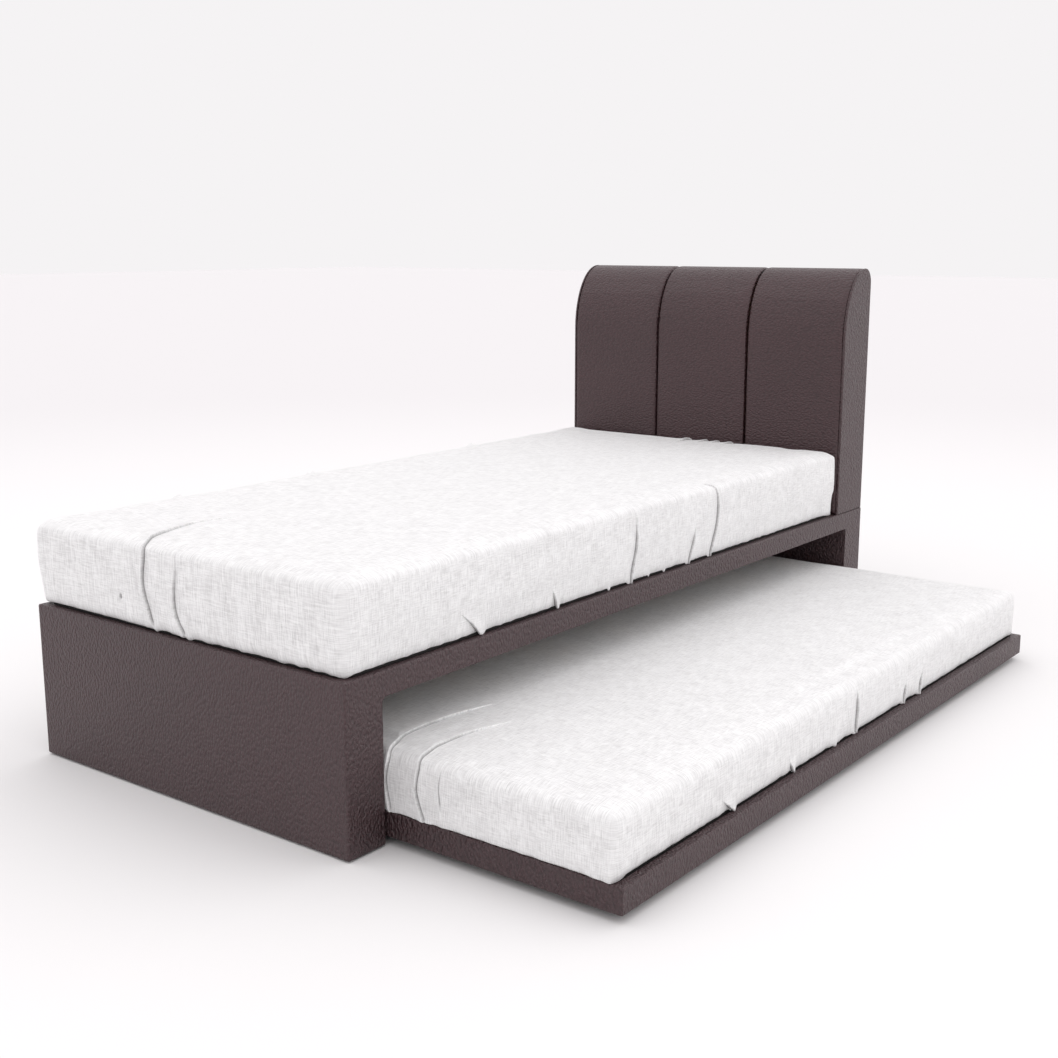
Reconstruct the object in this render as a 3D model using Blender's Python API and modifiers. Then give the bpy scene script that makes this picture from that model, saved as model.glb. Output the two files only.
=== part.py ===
"""Pull-out trundle bed: an upholstered single bed with a low second bed that rolls out from under it.

The world origin is on the floor, under the middle of the whole bed as it stands with the trundle
part way out. +X is the side the trundle comes out of, -Y is the foot end, +Z is up. Metres.
"""
import math

import bmesh
import bpy
from mathutils import Matrix, Vector

# ---- driving dimensions -------------------------------------------------------------------------

GAP = 0.0003                    # clearance kept between pieces that touch

BED_WIDTH = 0.942               # upper bed, across
BED_LENGTH = 2.172              # foot face to head panel's back
BASE_TOP = 0.347                # top of the upholstered base
GLIDE_HEIGHT = 0.003            # plastic glide under the base
FOOT_PANEL_DEPTH = 0.098
HEAD_PANEL_DEPTH = 0.102
SIDE_RAIL_HEIGHT = 0.050        # rail over the trundle opening
SIDE_THICKNESS = 0.045          # rail and wall panel
OPENING_RADIUS = 0.012          # rounded corner of the opening, foot end
EDGE_RADIUS = 0.004             # leather wrapped over a board edge

DECK_THICKNESS = 0.012
BATTEN_COUNT = 7
BATTEN_WIDTH = 0.045
BATTEN_HEIGHT = 0.028
LEDGER_LEG = 0.025
STEEL = 0.003                   # ledger angles and brackets
BRACKET_LEG = 0.055
BRACKET_HEIGHT = 0.032

HEADBOARD_FRONT = 2.010         # from the foot face
HEADBOARD_BACK = 2.168
HEADBOARD_TOP = 1.049
HEADBOARD_CURVE_DEPTH = 0.122   # front face to the crest
HEADBOARD_CURVE_HEIGHT = 0.195
HEADBOARD_BACK_RADIUS = 0.038
HEADBOARD_BACK_DROP = 0.044
CHEEK_THICKNESS = 0.006
PAD_THICKNESS = 0.030
PAD_GROOVE = 0.005              # gap between two front pads
PAD_COUNT = 3
PAD_BACK_LAP = 0.020            # how far a pad comes down the back below the crown
BACK_BOARD = 0.012
RIB_THICKNESS = 0.018
HEADBOARD_BRACKET_LEG = 0.060
HEADBOARD_BRACKET_WIDTH = 0.050

MATTRESS_WIDTH = 0.934
MATTRESS_LENGTH = 2.000
MATTRESS_WALL_INSET = 0.002
MATTRESS_TOP = 0.534
MATTRESS_FOOT = 0.006           # from the foot face
MATTRESS_ROUND = 0.035
TRUNDLE_MATTRESS_ROUND = 0.028

TRUNDLE_OUTER_EDGE = 1.477      # outer edge of the trundle from the bed's wall side
TRUNDLE_WIDTH = 0.885
TRUNDLE_CLEARANCE = 0.008       # each end, to the foot and head panels
TRUNDLE_BOTTOM = 0.019
TRUNDLE_TOP = 0.069
TRUNDLE_RAIL = 0.022
TRUNDLE_EDGE_RADIUS = 0.003
TRUNDLE_DECK = 0.009
BEARER_THICKNESS = 0.015
BEARER_WIDTH = 0.090
TRUNDLE_MATTRESS_INSET = 0.016
TRUNDLE_MATTRESS_END_INSET = 0.003
TRUNDLE_MATTRESS_TOP = 0.196

WHEEL_RADIUS = 0.018
WHEEL_WIDTH = 0.016
AXLE_RADIUS = 0.003
CASTER_WALL = 0.0025
CASTER_SIDE_PLAY = 0.0015       # wheel to bracket cheek, each side
RIVET_LIP = 0.0015
RIVET_HEAD = 0.0014
CASTER_LENGTH = 0.034
CASTER_INSET = 0.095            # wheel centre from the trundle's long sides
CASTER_END_INSET = 0.180        # wheel centre from the trundle's ends

# ---- places worked out from them ----------------------------------------------------------------

WALL_X = -TRUNDLE_OUTER_EDGE / 2.0
OPEN_X = WALL_X + BED_WIDTH
FOOT_Y = -BED_LENGTH / 2.0
HEAD_Y = BED_LENGTH / 2.0
BAY_FOOT_Y = FOOT_Y + FOOT_PANEL_DEPTH
BAY_HEAD_Y = HEAD_Y - HEAD_PANEL_DEPTH
RAIL_BOTTOM = BASE_TOP - SIDE_RAIL_HEIGHT
INNER_WALL_X = WALL_X + SIDE_THICKNESS
INNER_OPEN_X = OPEN_X - SIDE_THICKNESS

LEDGER_BOTTOM = BASE_TOP - DECK_THICKNESS - 2.0 * GAP - BATTEN_HEIGHT - STEEL

TRUNDLE_OUT_X = WALL_X + TRUNDLE_OUTER_EDGE
TRUNDLE_IN_X = TRUNDLE_OUT_X - TRUNDLE_WIDTH
TRUNDLE_FOOT_Y = BAY_FOOT_Y + TRUNDLE_CLEARANCE
TRUNDLE_HEAD_Y = BAY_HEAD_Y - TRUNDLE_CLEARANCE
BEARER_BOTTOM = TRUNDLE_TOP - TRUNDLE_DECK - GAP - BEARER_THICKNESS

# ---- materials: name -> base colour (linear), roughness, metallic -------------------------------

FINISHES = {
    "faux_leather_dark_brown": ((0.060, 0.045, 0.045), 0.62, 0.0),
    "faux_leather_black_back": ((0.020, 0.018, 0.018), 0.80, 0.0),
    "pine_timber": ((0.560, 0.390, 0.220), 0.65, 0.0),
    "plywood": ((0.480, 0.340, 0.200), 0.70, 0.0),
    "zinc_plated_steel": ((0.550, 0.560, 0.570), 0.35, 1.0),
    "black_nylon": ((0.015, 0.015, 0.016), 0.50, 0.0),
    "grey_rubber_tread": ((0.090, 0.090, 0.092), 0.75, 0.0),
    "white_mattress_fabric": ((0.800, 0.795, 0.785), 0.90, 0.0),
}


def material_for(node, finish):
    colour, roughness, metallic = FINISHES[finish]
    material = bpy.data.materials.new(f"{node}_{finish}"[:60])
    material.use_nodes = True
    shader = material.node_tree.nodes["Principled BSDF"]
    shader.inputs["Base Color"].default_value = (*colour, 1.0)
    shader.inputs["Roughness"].default_value = roughness
    shader.inputs["Metallic"].default_value = metallic
    material.diffuse_color = (*colour, 1.0)
    return material


# ---- modelling helpers --------------------------------------------------------------------------


def clear_scene():
    for old in list(bpy.data.objects):
        bpy.data.objects.remove(old, do_unlink=True)


def new_collection(name):
    collection = bpy.data.collections.new(name)
    bpy.context.scene.collection.children.link(collection)
    return collection


def add_object(node, mesh, finish, location=(0.0, 0.0, 0.0)):
    obj = bpy.data.objects.new(node, mesh)
    obj.location = location
    obj.data.materials.clear()
    obj.data.materials.append(material_for(node, finish))
    PARTS.objects.link(obj)
    return obj


def box_mesh(name, size, radius=0.0, segments=3, keep_sharp=None):
    """A box about its own centre. keep_sharp(edge) picks the edges that are not rounded."""
    bm = bmesh.new()
    bmesh.ops.create_cube(bm, size=1.0)
    bmesh.ops.scale(bm, vec=Vector(size), verts=bm.verts)
    if radius > 0.0:
        edges = [e for e in bm.edges if keep_sharp is None or not keep_sharp(e)]
        bmesh.ops.bevel(
            bm, geom=edges, offset=radius, segments=segments, profile=0.5, affect="EDGES", clamp_overlap=True
        )
    mesh = bpy.data.meshes.new(name)
    bm.to_mesh(mesh)
    bm.free()
    mesh.shade_smooth()
    mesh.set_sharp_from_angle(angle=math.radians(35.0))
    return mesh


def box_between(node, finish, low, high, radius=0.0, segments=3, keep_sharp=None):
    """A box from its low corner to its high corner, in world coordinates."""
    low = Vector(low)
    high = Vector(high)
    mesh = box_mesh(node, high - low, radius, segments, keep_sharp)
    return add_object(node, mesh, finish, (low + high) / 2.0)


def outline_mesh(name, points, thickness):
    """A closed outline in the Y-Z plane, given thickness along X about x = 0."""
    curve = bpy.data.curves.new(name, "CURVE")
    curve.dimensions = "2D"
    curve.fill_mode = "BOTH"
    curve.extrude = thickness / 2.0
    spline = curve.splines.new("POLY")
    spline.points.add(len(points) - 1)
    for point, (y, z) in zip(spline.points, points):
        point.co = (y, z, 0.0, 1.0)
    spline.use_cyclic_u = True
    guide = bpy.data.objects.new(name + "_outline", curve)
    bpy.context.scene.collection.objects.link(guide)
    bpy.context.view_layer.update()
    evaluated = guide.evaluated_get(bpy.context.evaluated_depsgraph_get())
    mesh = bpy.data.meshes.new_from_object(evaluated)
    bpy.data.objects.remove(guide, do_unlink=True)
    bpy.data.curves.remove(curve)
    mesh.name = name
    # the curve lies in X-Y with its thickness along Z: X -> Y, Y -> Z, Z -> X
    mesh.transform(Matrix(((0, 0, 1, 0), (1, 0, 0, 0), (0, 1, 0, 0), (0, 0, 0, 1))))
    bm = bmesh.new()
    bm.from_mesh(mesh)
    bmesh.ops.remove_doubles(bm, verts=bm.verts, dist=0.00002)
    bmesh.ops.dissolve_limit(bm, angle_limit=math.radians(0.1), verts=bm.verts, edges=bm.edges)
    bmesh.ops.recalc_face_normals(bm, faces=bm.faces)
    bm.to_mesh(mesh)
    bm.free()
    mesh.shade_smooth()
    mesh.set_sharp_from_angle(angle=math.radians(35.0))
    return mesh


def round_edges(mesh, radius, segments, chosen):
    """Round the edges of a mesh for which chosen(edge) is true."""
    bm = bmesh.new()
    bm.from_mesh(mesh)
    edges = [e for e in bm.edges if chosen(e)]
    bmesh.ops.bevel(bm, geom=edges, offset=radius, segments=segments, profile=0.5, affect="EDGES")
    bm.to_mesh(mesh)
    bm.free()


def arc(centre, radii, start, stop, steps):
    """Points of an elliptical arc in the Y-Z plane, angles in degrees from +Y towards +Z."""
    points = []
    for i in range(steps + 1):
        angle = math.radians(start + (stop - start) * i / steps)
        points.append((centre[0] + radii[0] * math.cos(angle), centre[1] + radii[1] * math.sin(angle)))
    return points


def turned(node, finish, profile, location, steps=32):
    """A profile of (radius, height) turned about its own Z axis, then laid along Y."""
    mesh = bpy.data.meshes.new(node)
    bm = bmesh.new()
    verts = [bm.verts.new((r, 0.0, h)) for r, h in profile]
    for a, b in zip(verts, verts[1:] + verts[:1]):
        bm.edges.new((a, b))
    bm.to_mesh(mesh)
    bm.free()
    obj = add_object(node, mesh, finish, location)
    obj.rotation_euler = (math.radians(-90.0), 0.0, 0.0)
    screw = obj.modifiers.new("turn", "SCREW")
    screw.steps = steps
    screw.render_steps = steps
    screw.use_merge_vertices = True
    screw.merge_threshold = 0.0001
    screw.use_smooth_shade = True
    return obj


# ---- base of the upper bed ----------------------------------------------------------------------


def end_panel(node, low_y, high_y, inner_sign):
    """A full-width upholstered box that carries one end. Its inner face stays square-edged."""

    def inner_edge(edge):
        return all(v.co.y * inner_sign > 0.0 for v in edge.verts)

    return box_between(
        node, "faux_leather_dark_brown",
        (WALL_X, low_y, GLIDE_HEIGHT + GAP), (OPEN_X, high_y, BASE_TOP),
        EDGE_RADIUS, keep_sharp=inner_edge,
    )


def side_rail():
    """The rail over the trundle opening, with the opening's rounded corner at its foot end."""
    foot = BAY_FOOT_Y + GAP
    head = BAY_HEAD_Y - GAP
    corner = arc((foot + OPENING_RADIUS, RAIL_BOTTOM - OPENING_RADIUS), (OPENING_RADIUS,) * 2, 180, 90, 6)
    points = [(foot, BASE_TOP), *corner, (head, RAIL_BOTTOM), (head, BASE_TOP)]
    mesh = outline_mesh("side_rail", points, SIDE_THICKNESS)

    def outer_top(edge):
        return all(v.co.z > BASE_TOP - GAP and v.co.x > 0.0 for v in edge.verts)

    round_edges(mesh, EDGE_RADIUS, 3, outer_top)
    add_object("side_rail", mesh, "faux_leather_dark_brown", (OPEN_X - SIDE_THICKNESS / 2.0, 0.0, 0.0))


def wall_panel():
    """The closed long side, which stands against a wall."""

    def not_outer(edge):
        return not all(v.co.x < 0.0 and v.co.z > 0.0 for v in edge.verts)

    return box_between(
        "wall_side_panel", "faux_leather_dark_brown",
        (WALL_X, BAY_FOOT_Y + GAP, GLIDE_HEIGHT + GAP), (INNER_WALL_X, BAY_HEAD_Y - GAP, BASE_TOP),
        EDGE_RADIUS, keep_sharp=not_outer,
    )


def angle_mesh(name, leg_a, leg_b, length):
    """A steel angle: an L along +X and +Y from the corner at the origin, as tall as length."""
    bm = bmesh.new()
    corners = [
        (0.0, 0.0), (leg_a, 0.0), (leg_a, STEEL), (STEEL, STEEL), (STEEL, leg_b), (0.0, leg_b),
    ]
    face = bm.faces.new([bm.verts.new((x, y, 0.0)) for x, y in corners])
    top = bmesh.ops.extrude_face_region(bm, geom=[face])
    lifted = [v for v in top["geom"] if isinstance(v, bmesh.types.BMVert)]
    bmesh.ops.translate(bm, vec=(0.0, 0.0, length), verts=lifted)
    bmesh.ops.recalc_face_normals(bm, faces=bm.faces)
    mesh = bpy.data.meshes.new(name)
    bm.to_mesh(mesh)
    bm.free()
    return mesh


def mirrored(mesh, axis):
    """A copy of the mesh mirrored through its own origin along one axis, faces turned back out."""
    copy = mesh.copy()
    scale = [1.0, 1.0, 1.0]
    scale["XYZ".index(axis)] = -1.0
    copy.transform(Matrix.Diagonal((*scale, 1.0)))
    copy.flip_normals()
    return copy


def ledgers():
    """A steel angle on the inside of each long side carries the ends of the battens."""
    foot = BAY_FOOT_Y + BRACKET_LEG + 0.020
    length = BED_LENGTH - FOOT_PANEL_DEPTH - HEAD_PANEL_DEPTH - 2.0 * (BRACKET_LEG + 0.020)
    mesh = angle_mesh("ledger", LEDGER_LEG, LEDGER_LEG, length)
    # stand the angle along Y: its own Z -> Y, X -> inwards, Y -> Z
    mesh.transform(Matrix(((1, 0, 0, 0), (0, 0, 1, 0), (0, 1, 0, 0), (0, 0, 0, 1))))
    mesh.flip_normals()
    add_object("ledger_wall_side", mesh, "zinc_plated_steel", (INNER_WALL_X + GAP, foot, LEDGER_BOTTOM))
    add_object(
        "ledger_open_side", mirrored(mesh, "X"), "zinc_plated_steel",
        (INNER_OPEN_X - GAP, foot, LEDGER_BOTTOM),
    )


def battens():
    """Cross battens between the ledgers, evenly spaced under the two deck boards."""
    first = BAY_FOOT_Y + BRACKET_LEG + 0.060
    last = BAY_HEAD_Y - BRACKET_LEG - 0.060
    low_x = INNER_WALL_X + STEEL + 2.0 * GAP
    high_x = INNER_OPEN_X - STEEL - 2.0 * GAP
    bottom = LEDGER_BOTTOM + STEEL + GAP
    for i in range(BATTEN_COUNT):
        middle = first + (last - first) * i / (BATTEN_COUNT - 1)
        box_between(
            f"batten_{i + 1}", "pine_timber",
            (low_x, middle - BATTEN_WIDTH / 2.0, bottom),
            (high_x, middle + BATTEN_WIDTH / 2.0, bottom + BATTEN_HEIGHT), 0.002, 1,
        )


def deck_boards():
    """Two boards lie on the battens, flush with the rails, and meet at mid length."""
    bottom = BASE_TOP - DECK_THICKNESS
    spans = (("foot", BAY_FOOT_Y + GAP, 0.0), ("head", GAP, BAY_HEAD_Y - GAP))
    for end, low_y, high_y in spans:
        box_between(
            f"deck_board_{end}", "faux_leather_black_back",
            (INNER_WALL_X + GAP, low_y, bottom), (INNER_OPEN_X - GAP, high_y, BASE_TOP - GAP),
        )


def corner_brackets():
    """Steel angles that bolt the long sides to the end panels, inside the four corners."""
    mesh = angle_mesh("corner_bracket", BRACKET_LEG, BRACKET_LEG, BRACKET_HEIGHT)
    bottom = RAIL_BOTTOM + 0.004
    for side, x, mirror_x in (("wall", INNER_WALL_X + GAP, False), ("open", INNER_OPEN_X - GAP, True)):
        for end, y, mirror_y in (("foot", BAY_FOOT_Y + GAP, False), ("head", BAY_HEAD_Y - GAP, True)):
            shape = mesh
            if mirror_x:
                shape = mirrored(shape, "X")
            if mirror_y:
                shape = mirrored(shape, "Y")
            add_object(f"corner_bracket_{side}_{end}", shape, "zinc_plated_steel", (x, y, bottom))


def glides():
    """Nail-on plastic glides under the four corners of the base."""
    for side, x in (("wall", WALL_X + 0.060), ("open", OPEN_X - 0.060)):
        for end, y in (("foot", FOOT_Y + FOOT_PANEL_DEPTH / 2.0), ("head", HEAD_Y - HEAD_PANEL_DEPTH / 2.0)):
            bm = bmesh.new()
            bmesh.ops.create_cone(
                bm, cap_ends=True, segments=24, radius1=0.012, radius2=0.0135, depth=GLIDE_HEIGHT
            )
            mesh = bpy.data.meshes.new("glide")
            bm.to_mesh(mesh)
            bm.free()
            add_object(f"floor_glide_{side}_{end}", mesh, "black_nylon", (x, y, GLIDE_HEIGHT / 2.0))


# ---- headboard ----------------------------------------------------------------------------------

HEADBOARD_FOOT = BASE_TOP + GAP
HEADBOARD_FACE_Y = FOOT_Y + HEADBOARD_FRONT
HEADBOARD_REAR_Y = FOOT_Y + HEADBOARD_BACK
PAD_LIP = HEADBOARD_TOP - HEADBOARD_BACK_DROP - PAD_BACK_LAP
INNER_WIDTH = BED_WIDTH - 2.0 * (CHEEK_THICKNESS + GAP)
PAD_PITCH = (INNER_WIDTH + PAD_GROOVE) / PAD_COUNT
FIRST_PAD_X = WALL_X + CHEEK_THICKNESS + GAP


def crown(inset, rear_inset):
    """From the front face, over the crown, to the rear face: taken in by inset and rear_inset."""
    crest_y = HEADBOARD_FACE_Y + HEADBOARD_CURVE_DEPTH
    rear_reach = HEADBOARD_REAR_Y - rear_inset - crest_y
    front = arc(
        (crest_y, HEADBOARD_TOP - HEADBOARD_CURVE_HEIGHT),
        (HEADBOARD_CURVE_DEPTH - inset, HEADBOARD_CURVE_HEIGHT - inset), 180, 90, 16,
    )
    rear = arc(
        (crest_y, HEADBOARD_TOP - HEADBOARD_BACK_DROP), (rear_reach, HEADBOARD_BACK_DROP - inset), 90, 0, 8
    )
    return front + rear[1:]


def full_outline(inset, rear_inset):
    """The headboard's whole side outline, closed along its foot."""
    over = crown(inset, rear_inset)
    return [(over[0][0], HEADBOARD_FOOT), *over, (over[-1][0], HEADBOARD_FOOT)]


def headboard_cheeks():
    """Thin leather-covered side panels that close the headboard's two ends."""
    half = CHEEK_THICKNESS / 2.0
    for side, x, outward in (("wall", WALL_X + half, -1.0), ("open", OPEN_X - half, 1.0)):
        mesh = outline_mesh(f"headboard_cheek_{side}", full_outline(0.0, 0.0), CHEEK_THICKNESS)
        round_edges(
            mesh, 0.0025, 2,
            lambda edge, outward=outward: all(v.co.x * outward > 0.0 for v in edge.verts),
        )
        add_object(f"headboard_cheek_{side}", mesh, "faux_leather_dark_brown", (x, 0.0, 0.0))


def headboard_pads():
    """Three upholstered pads side by side, over the front, the crown and down to the rear lip."""
    outer = crown(0.0, 0.0)
    inner = crown(PAD_THICKNESS, BACK_BOARD + GAP)
    shape = [(outer[0][0], HEADBOARD_FOOT), *outer, (outer[-1][0], PAD_LIP), (inner[-1][0], PAD_LIP)]
    shape += [*reversed(inner), (inner[0][0], HEADBOARD_FOOT)]
    width = PAD_PITCH - PAD_GROOVE
    for i, place in enumerate(("wall", "middle", "open")):
        mesh = outline_mesh(f"headboard_pad_{place}", shape, width)
        x = FIRST_PAD_X + width / 2.0 + i * PAD_PITCH
        add_object(f"headboard_pad_{place}", mesh, "faux_leather_dark_brown", (x, 0.0, 0.0))


def headboard_ribs():
    """Plywood ribs inside the pads: one against each cheek and one behind each groove."""
    outline = full_outline(PAD_THICKNESS + GAP, BACK_BOARD + 2.0 * GAP)
    half = RIB_THICKNESS / 2.0
    groove_places = [FIRST_PAD_X + i * PAD_PITCH - PAD_GROOVE / 2.0 for i in range(1, PAD_COUNT)]
    places = [FIRST_PAD_X + half, *groove_places, FIRST_PAD_X + INNER_WIDTH - half]
    for i, x in enumerate(places):
        mesh = outline_mesh(f"headboard_rib_{i + 1}", outline, RIB_THICKNESS)
        add_object(f"headboard_rib_{i + 1}", mesh, "plywood", (x, 0.0, 0.0))


def headboard_back():
    """The flat back board, up to the lip of the pads."""
    box_between(
        "headboard_back_board", "faux_leather_black_back",
        (FIRST_PAD_X, HEADBOARD_REAR_Y - BACK_BOARD, HEADBOARD_FOOT),
        (FIRST_PAD_X + INNER_WIDTH, HEADBOARD_REAR_Y, PAD_LIP - GAP),
    )


def headboard_brackets():
    """Two steel angles screw the back board down to the head panel, between the ribs."""
    leg = HEADBOARD_BRACKET_LEG
    mesh = angle_mesh("headboard_bracket", leg, leg, HEADBOARD_BRACKET_WIDTH)
    # one leg stands up the back board, the other lies forward on the base
    mesh.transform(Matrix(((0, 0, 1, 0), (-1, 0, 0, 0), (0, 1, 0, 0), (0, 0, 0, 1))))
    mesh.flip_normals()
    rear = HEADBOARD_REAR_Y - BACK_BOARD - GAP
    for side, pad in (("wall", 0), ("open", PAD_COUNT - 1)):
        x = FIRST_PAD_X + (pad + 0.5) * PAD_PITCH - HEADBOARD_BRACKET_WIDTH / 2.0
        add_object(
            f"headboard_bracket_{side}", mesh.copy(), "zinc_plated_steel", (x, rear, HEADBOARD_FOOT)
        )


# ---- trundle ------------------------------------------------------------------------------------


def mitred_rail(node, low, high, cuts):
    """A leather-covered rail, cut at 45 degrees at each end. cuts: (corner, direction cut away)."""
    low = Vector(low)
    high = Vector(high)
    middle = (low + high) / 2.0

    def lower_edge(edge):
        return all(v.co.z < 0.0 for v in edge.verts)

    mesh = box_mesh(node, high - low, TRUNDLE_EDGE_RADIUS, 3, keep_sharp=lower_edge)
    bm = bmesh.new()
    bm.from_mesh(mesh)
    for corner, away in cuts:
        away = Vector(away).normalized()
        bmesh.ops.bisect_plane(
            bm, geom=bm.verts[:] + bm.edges[:] + bm.faces[:], dist=0.00001,
            plane_co=Vector(corner) - middle - away * GAP / 2.0, plane_no=away, clear_outer=True,
        )
        bmesh.ops.holes_fill(bm, edges=[e for e in bm.edges if e.is_boundary], sides=0)
    bmesh.ops.recalc_face_normals(bm, faces=bm.faces)
    bm.to_mesh(mesh)
    bm.free()
    mesh.set_sharp_from_angle(angle=math.radians(35.0))
    return add_object(node, mesh, "faux_leather_dark_brown", middle)


def trundle_frame():
    """Four leather-covered rails, mitred at the corners."""
    low_corner = (TRUNDLE_IN_X, TRUNDLE_FOOT_Y, TRUNDLE_BOTTOM)
    foot_in = (TRUNDLE_IN_X, TRUNDLE_FOOT_Y, TRUNDLE_TOP)
    foot_out = (TRUNDLE_OUT_X, TRUNDLE_FOOT_Y, TRUNDLE_TOP)
    head_in = (TRUNDLE_IN_X, TRUNDLE_HEAD_Y, TRUNDLE_TOP)
    head_out = (TRUNDLE_OUT_X, TRUNDLE_HEAD_Y, TRUNDLE_TOP)
    mitred_rail(
        "trundle_inner_rail", low_corner, (TRUNDLE_IN_X + TRUNDLE_RAIL, TRUNDLE_HEAD_Y, TRUNDLE_TOP),
        ((foot_in, (1.0, -1.0, 0.0)), (head_in, (1.0, 1.0, 0.0))),
    )
    mitred_rail(
        "trundle_outer_rail",
        (TRUNDLE_OUT_X - TRUNDLE_RAIL, TRUNDLE_FOOT_Y, TRUNDLE_BOTTOM), head_out,
        ((foot_out, (-1.0, -1.0, 0.0)), (head_out, (-1.0, 1.0, 0.0))),
    )
    mitred_rail(
        "trundle_foot_rail", low_corner, (TRUNDLE_OUT_X, TRUNDLE_FOOT_Y + TRUNDLE_RAIL, TRUNDLE_TOP),
        ((foot_in, (-1.0, 1.0, 0.0)), (foot_out, (1.0, 1.0, 0.0))),
    )
    mitred_rail(
        "trundle_head_rail",
        (TRUNDLE_IN_X, TRUNDLE_HEAD_Y - TRUNDLE_RAIL, TRUNDLE_BOTTOM), head_out,
        ((head_in, (-1.0, -1.0, 0.0)), (head_out, (1.0, -1.0, 0.0))),
    )


def trundle_deck():
    """Two deck boards let in between the rails, over three cross bearers."""
    low_x = TRUNDLE_IN_X + TRUNDLE_RAIL + GAP
    high_x = TRUNDLE_OUT_X - TRUNDLE_RAIL - GAP
    foot = TRUNDLE_FOOT_Y + TRUNDLE_RAIL + GAP
    head = TRUNDLE_HEAD_Y - TRUNDLE_RAIL - GAP
    middle = (foot + head) / 2.0
    deck_bottom = TRUNDLE_TOP - TRUNDLE_DECK
    for end, low_y, high_y in (("foot", foot, middle - GAP), ("head", middle, head)):
        box_between(
            f"trundle_deck_{end}", "faux_leather_black_back",
            (low_x, low_y, deck_bottom), (high_x, high_y, TRUNDLE_TOP - GAP),
        )
    places = (
        ("foot", TRUNDLE_FOOT_Y + CASTER_END_INSET),
        ("middle", middle),
        ("head", TRUNDLE_HEAD_Y - CASTER_END_INSET),
    )
    for place, y in places:
        box_between(
            f"trundle_bearer_{place}", "plywood",
            (low_x, y - BEARER_WIDTH / 2.0, deck_bottom - GAP - BEARER_THICKNESS),
            (high_x, y + BEARER_WIDTH / 2.0, deck_bottom - GAP),
        )


def caster_bracket_mesh():
    """A pressed steel channel, open downwards, with the axle's hole through both cheeks."""
    top = BEARER_BOTTOM - GAP - WHEEL_RADIUS
    half = WHEEL_WIDTH / 2.0 + CASTER_SIDE_PLAY
    drop = -WHEEL_RADIUS / 2.0
    outer = half + CASTER_WALL
    corners = [
        (-outer, drop), (-half, drop), (-half, top - CASTER_WALL), (half, top - CASTER_WALL),
        (half, drop), (outer, drop), (outer, top), (-outer, top),
    ]
    channel = bpy.data.objects.new("channel", outline_mesh("channel", corners, CASTER_LENGTH))
    bpy.context.scene.collection.objects.link(channel)
    bm = bmesh.new()
    bmesh.ops.create_cone(
        bm, cap_ends=True, segments=24, radius1=AXLE_RADIUS + GAP, radius2=AXLE_RADIUS + GAP, depth=0.060
    )
    bmesh.ops.rotate(bm, cent=(0, 0, 0), matrix=Matrix.Rotation(math.radians(90.0), 3, "X"), verts=bm.verts)
    drill_mesh = bpy.data.meshes.new("axle_drill")
    bm.to_mesh(drill_mesh)
    bm.free()
    drill = bpy.data.objects.new("axle_drill", drill_mesh)
    drill.hide_render = True
    drill.display_type = "WIRE"
    CUTTERS.objects.link(drill)
    cut = channel.modifiers.new("axle_hole", "BOOLEAN")
    cut.operation = "DIFFERENCE"
    cut.solver = "EXACT"
    cut.object = drill
    bpy.context.view_layer.update()
    evaluated = channel.evaluated_get(bpy.context.evaluated_depsgraph_get())
    mesh = bpy.data.meshes.new_from_object(evaluated)
    mesh.name = "caster_bracket"
    bpy.data.objects.remove(channel, do_unlink=True)
    bpy.data.objects.remove(drill, do_unlink=True)
    return mesh


def axle_pin(node, reach, location):
    """A pin along Y with a riveted head outside each cheek of its bracket."""
    head_radius = AXLE_RADIUS + RIVET_LIP
    end = reach + GAP + RIVET_HEAD
    profile = [
        (0.0, end), (head_radius, end), (head_radius, reach + GAP), (AXLE_RADIUS, reach + GAP),
        (AXLE_RADIUS, -reach - GAP), (head_radius, -reach - GAP), (head_radius, -end), (0.0, -end),
    ]
    bm = bmesh.new()
    verts = [bm.verts.new((radius, 0.0, height)) for radius, height in profile]
    for a, b in zip(verts, verts[1:]):
        bm.edges.new((a, b))
    bmesh.ops.spin(
        bm, geom=list(bm.verts) + list(bm.edges), cent=(0, 0, 0), axis=(0, 0, 1),
        angle=math.radians(360.0), steps=20, use_merge=True,
    )
    bmesh.ops.remove_doubles(bm, verts=bm.verts, dist=0.00002)
    bmesh.ops.recalc_face_normals(bm, faces=bm.faces)
    bmesh.ops.rotate(bm, cent=(0, 0, 0), matrix=Matrix.Rotation(math.radians(-90.0), 3, "X"), verts=bm.verts)
    mesh = bpy.data.meshes.new(node)
    bm.to_mesh(mesh)
    bm.free()
    mesh.shade_smooth()
    mesh.set_sharp_from_angle(angle=math.radians(35.0))
    add_object(node, mesh, "zinc_plated_steel", location)


def caster_wheel(node, location):
    """A wheel with a dished hub, turned about its bore."""
    half = WHEEL_WIDTH / 2.0
    dish = half - 0.0025
    bore = AXLE_RADIUS + GAP
    shoulder = WHEEL_RADIUS - 0.0015
    right = [
        (bore, half), (0.0075, half), (0.0090, dish), (0.0135, dish), (0.0150, half),
        (shoulder, half), (WHEEL_RADIUS, half - 0.0020),
    ]
    left = [(radius, -height) for radius, height in reversed(right)]
    turned(node, "grey_rubber_tread", right + left, location)


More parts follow.
